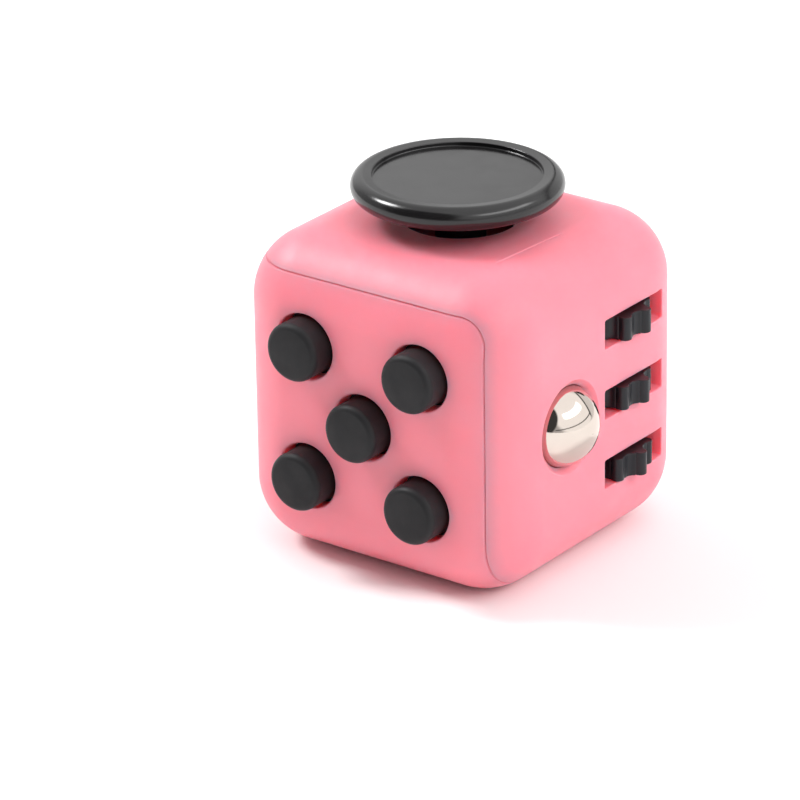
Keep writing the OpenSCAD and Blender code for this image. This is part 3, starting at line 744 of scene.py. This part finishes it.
def joystick_disc():
    """Disc with a round rim about a flat dish."""
    rim = DISC_RIM / 2
    dish_floor_at = DISC_TOP - DISC_DISH
    rim_at = DISC_R - rim
    profile = [(AXIS_R, DISC_TOP - DISC_RIM), (rim_at - 0.6, DISC_TOP - DISC_RIM)]
    profile += arc(rim_at, DISC_TOP - rim, rim, -90, 100, 36)
    profile += arc(DISC_DISH_R + DISC_EDGE_R, DISC_TOP - DISC_EDGE_DROP, DISC_EDGE_R, 75, 180, 6)
    profile += arc(DISC_DISH_R - DISC_FILLET_R, dish_floor_at + DISC_FILLET_R, DISC_FILLET_R, 0, -90, 5)
    profile += [(DISC_DISH_R - 1, dish_floor_at), (AXIS_R, dish_floor_at)]
    return smoothed(lathe("joystick_cap_piece", profile, on_top, (DISC_AT, 0), segments=160))


def wheel_outline(phase):
    """Toothed outline as (u, v) points, starting at the phase angle."""
    tip_at = WHEEL_R - TOOTH_R
    scallop_at = WHEEL_ROOT_R + SCALLOP_R
    step = 2 * math.pi / WHEEL_TEETH
    outline = []
    for i in range(WHEEL_TEETH * TOOTH_STEPS):
        a = i / TOOTH_STEPS * step
        local = (a + step / 2) % step - step / 2  # angle from the nearest tooth
        radius = tip_at
        reach = tip_at * math.sin(local)
        if abs(reach) <= TOOTH_R:
            radius = max(radius, tip_at * math.cos(local) + math.sqrt(TOOTH_R**2 - reach**2))
        valley = step / 2 - abs(local)
        reach = scallop_at * math.sin(valley)
        if abs(reach) < SCALLOP_R:
            radius = min(radius, scallop_at * math.cos(valley) - math.sqrt(SCALLOP_R**2 - reach**2))
        turned = a + math.radians(phase)
        outline.append((radius * math.cos(turned), radius * math.sin(turned)))
    return outline


def bore(place, radius, half):
    """Cutter for a round hole along w, through a piece that reaches half each way."""
    profile = [(radius, -half - CLEAR), (radius, half + CLEAR)]
    return lathe("bore", profile, place, segments=32)


def toothed_wheel(name, height, phase):
    """Wheel about the upright axle; its outline has u out of the right face and v to the back."""
    outline = wheel_outline(phase)

    def place(u, v, w):
        return (HALF - AXLE_DEPTH + u, AXLE_AT + v, MIDDLE_Z + height + w)

    half = WHEEL_T / 2
    rings = [[place(u, v, -half) for u, v in outline], [place(u, v, half) for u, v in outline]]
    wheel = rings_to_solid(name + "_piece", rings)
    combine(wheel, bore(place, AXLE_BORE_R, half), "DIFFERENCE")
    return smoothed(bevelled(wheel, WHEEL_EDGE_R, 3, 60))


def rocker():
    """Flip switch: a face whose two halves rise from the middle, drawn level and then tilted."""
    end = ROCKER_LEN / 2
    keel, keel_half = ROCKER_KEEL
    slope = math.tan(math.radians(ROCKER_TILT))
    steps = 16
    top = []
    for i in range(steps + 1):
        y = -end + 2 * end * i / steps
        ease = math.sqrt(y * y + ROCKER_CREASE) - math.sqrt(ROCKER_CREASE)
        top.append((ROCKER_MID + ease * slope, y))
    profile = [(ROCKER_SIDE, -end)] + top + [(ROCKER_SIDE, end), (keel, keel_half), (keel, -keel_half)]
    tilt = math.radians(-ROCKER_TILT)

    def place(out, up, across):
        o = out * math.cos(tilt) - up * math.sin(tilt)
        v = out * math.sin(tilt) + up * math.cos(tilt)
        return on_back(-across, v, o - ROCKER_PIN_DEPTH)

    half = ROCKER_W / 2
    rings = [[place(x, y, w) for x, y in profile] for w in (-half, half)]
    switch = bevelled(rings_to_solid("rocker_piece", rings), ROCKER_EDGE_R, 4, 40)
    return smoothed(combine(switch, bore(place, PIN_BORE_R, half), "DIFFERENCE"))


def dial_face():
    """Turned cap with a hollowed face."""
    profile = [(AXIS_R, DIAL_LOW), (DIAL_R - DIAL_LOW_EDGE_R, DIAL_LOW)]
    profile += arc(DIAL_R - DIAL_LOW_EDGE_R, DIAL_LOW + DIAL_LOW_EDGE_R, DIAL_LOW_EDGE_R, -90, 0, 4)
    profile += arc(DIAL_R - DIAL_EDGE_R, DIAL_TOP - DIAL_EDGE_R, DIAL_EDGE_R, 0, 84, 8)
    rim_rise = math.sqrt(DIAL_DIP_R**2 - DIAL_DIP_RIM**2)
    steps = 8
    for i in range(steps + 1):
        r = DIAL_DIP_RIM * (1 - i / steps)
        drop = math.sqrt(DIAL_DIP_R**2 - r * r) - rim_rise
        profile.append((max(r, AXIS_R), DIAL_TOP - DIAL_DIP_DROP - drop))
    return lathe("dial_cap_piece", profile, on_left)


def dial():
    """Cap with a nub to turn it by, and the hub that carries it through the wall."""
    cap = dial_face()
    nub = [(AXIS_R, DIAL_CORE), (NUB_R + 0.5, DIAL_CORE), (NUB_R + 0.45, DIAL_TOP - 0.35)]
    nub += arc(NUB_R + NUB_FOOT_R, DIAL_TOP + 0.1, NUB_FOOT_R, 250, 180, 4)
    nub += arc(NUB_R - NUB_EDGE_R, NUB_TOP - NUB_EDGE_R, NUB_EDGE_R, 0, 86, 6)
    nub += [(AXIS_R, NUB_TOP)]
    combine(cap, lathe("nub", nub, on_left, (0, NUB_AT), segments=48), "UNION")
    hub = [(AXIS_R, HUB_END), (HUB_NECK_R, HUB_END), (HUB_NECK_R, HUB_SHOULDER)]
    hub += [(HUB_R, HUB_SHOULDER), (HUB_R, DIAL_CORE), (AXIS_R, DIAL_CORE)]
    combine(cap, lathe("hub", hub, on_left, segments=48), "UNION")
    return smoothed(cap)


# ---- Build ----

front_half, back_half = shell_halves()
placed(front_half, "shell", "front_left_shell", MATERIALS["shell_pink"])
placed(back_half, "shell", "top_right_back_shell", MATERIALS["shell_pink"])
for name, spot in BUTTON_SPOTS.items():
    placed(button(name, spot), name, name, MATERIALS["button_black"])
placed(joystick_disc(), "joystick", "joystick_cap", MATERIALS["joystick_black"])
for name, (height, lift, phase) in WHEELS.items():
    placed(toothed_wheel(name, height + lift, phase), name, name, MATERIALS["wheel_black"])
placed(rocker(), "rocker", "rocker", MATERIALS["rocker_black"])
placed(dial(), "dial", "dial_cap", MATERIALS["dial_black"])

slots = {row["node"]: row["material_slot"] for row in frame["record"]["subparts"]}
for name, node in frame["nodes"].items():
    if not node.hide_render:
        node.data.materials.clear()
        node.data.materials.append(MATERIALS[slots[name]])

# ---- Stage: pale floor, soft studio light, camera ----

FLOOR_SIZE = 3.0
FLOOR_COLOUR = (0.89, 0.885, 0.885)


def floor():
    obj = make("floor", [(-1, -1, 0), (1, -1, 0), (1, 1, 0), (-1, 1, 0)], [(0, 1, 2, 3)])
    obj.data.transform(Matrix.Scale(FLOOR_SIZE / 2, 4))
    material, _, shader = nodes_of("floor_paper")
    shader.inputs["Base Color"].default_value = (*FLOOR_COLOUR, 1)
    shader.inputs["Roughness"].default_value = 0.8
    obj.data.materials.append(material)


floor()

# The studio is painted on the surroundings in layers, each over the ones before it. A layer has its
# brightness, a round patch (azimuth and elevation of the middle, radius where it is full, radius where
# it has faded out) and, if it is only a line in that patch, the circle that the line follows (azimuth
# and elevation of the middle, radius, half the line's width). The angles are in degrees.
SKY = 0.58
LAYERS = [
    (1.1, (0, 90, 25, 60), None),  # ceiling
    (1.1, (127, 30, 20, 50), None),  # light from behind
    (1.4, (8, 42, 50, 62), None),  # window
    (1.0, (90, 0, 34, 36), None),  # wall beside the window
    (0.06, (-98, 27, 37, 42), None),  # dark side
    (6.0, (8, 42, 22, 34), (0, 90, 50, 7)),  # strip light in the window
    (0.12, (0, 10, 56, 62), (210, 84.5, 84.5, 1.6)),  # sill
    (0.12, (88, 28, 36, 42), (90, 0, 35, 2)),  # window frame
    (30.0, (-165, 45, 7, 11), None),  # small bright lamp
]


def direction(azimuth, elevation):
    """Unit vector towards a place given in degrees."""
    a, e = math.radians(azimuth), math.radians(elevation)
    return (math.cos(a) * math.cos(e), math.sin(a) * math.cos(e), math.sin(e))


def near_direction(tree, place, azimuth, elevation):
    """Cosine of the angle between the direction looked in and the one given."""
    step = tree.nodes.new("ShaderNodeVectorMath")
    step.operation = "DOT_PRODUCT"
    step.inputs[1].default_value = direction(azimuth, elevation)
    tree.links.new(place, step.inputs[0])
    return step.outputs["Value"]


def faded(tree, value, zero_at, one_at):
    """Soft step of value, from 0 at zero_at to 1 at one_at."""
    step = tree.nodes.new("ShaderNodeMapRange")
    step.interpolation_type = "SMOOTHSTEP"
    step.inputs["From Min"].default_value = zero_at
    step.inputs["From Max"].default_value = one_at
    tree.links.new(value, step.inputs["Value"])
    return step.outputs["Result"]


def arithmetic(tree, operation, *terms):
    """Math node on numbers and sockets."""
    step = tree.nodes.new("ShaderNodeMath")
    step.operation = operation
    for socket, term in zip(step.inputs, terms):
        if isinstance(term, float):
            socket.default_value = term
        else:
            tree.links.new(term, socket)
    return step.outputs["Value"]


def studio():
    """Surroundings painted by direction, one layer over another."""
    world = bpy.data.worlds.new("studio")
    world.use_nodes = True
    tree = world.node_tree
    place = tree.nodes.new("ShaderNodeTexCoord").outputs["Generated"]
    level = None
    for brightness, (azimuth, elevation, full, gone), line in LAYERS:
        near = near_direction(tree, place, azimuth, elevation)
        share = faded(tree, near, math.cos(math.radians(gone)), math.cos(math.radians(full)))
        if line:
            azimuth, elevation, radius, half_width = line
            near = near_direction(tree, place, azimuth, elevation)
            off = arithmetic(tree, "SUBTRACT", near, math.cos(math.radians(radius)))
            off = arithmetic(tree, "ABSOLUTE", off)
            edge = math.sin(math.radians(half_width))
            share = arithmetic(tree, "MULTIPLY", share, faded(tree, off, edge, edge / 2))
        mix = tree.nodes.new("ShaderNodeMix")
        mix.inputs["A"].default_value = SKY
        mix.inputs["B"].default_value = brightness
        tree.links.new(share, mix.inputs["Factor"])
        if level:
            tree.links.new(level, mix.inputs["A"])
        level = mix.outputs["Result"]
    background = tree.nodes["Background"]
    background.inputs["Color"].default_value = (1, 1, 1, 1)
    tree.links.new(level, background.inputs["Strength"])
    bpy.context.scene.world = world


studio()
bpy.context.scene.view_settings.view_transform = "Standard"

# The camera stands off the front right corner, a little above the cube, and rolled slightly.
CAMERA_BACK = Vector((0.5515, -0.7321, 0.3998)).normalized()
CAMERA_AT = Vector((0.27444, -0.37462, 0.21616))
CAMERA_ROLL = math.radians(-0.967)
LENS = 230.4
SENSOR = 36.0


def camera():
    data = bpy.data.cameras.new("camera")
    data.lens = LENS
    data.sensor_width = SENSOR
    data.clip_start = 0.01
    obj = bpy.data.objects.new("camera", data)
    bpy.context.scene.collection.objects.link(obj)
    right = Vector((-CAMERA_BACK.y, CAMERA_BACK.x, 0)).normalized()
    up = CAMERA_BACK.cross(right)
    turned_right = math.cos(CAMERA_ROLL) * right + math.sin(CAMERA_ROLL) * up
    turned_up = -math.sin(CAMERA_ROLL) * right + math.cos(CAMERA_ROLL) * up
    pose = Matrix((turned_right, turned_up, CAMERA_BACK)).transposed().to_4x4()
    pose.translation = CAMERA_AT
    obj.matrix_world = pose
    bpy.context.scene.camera = obj


camera()
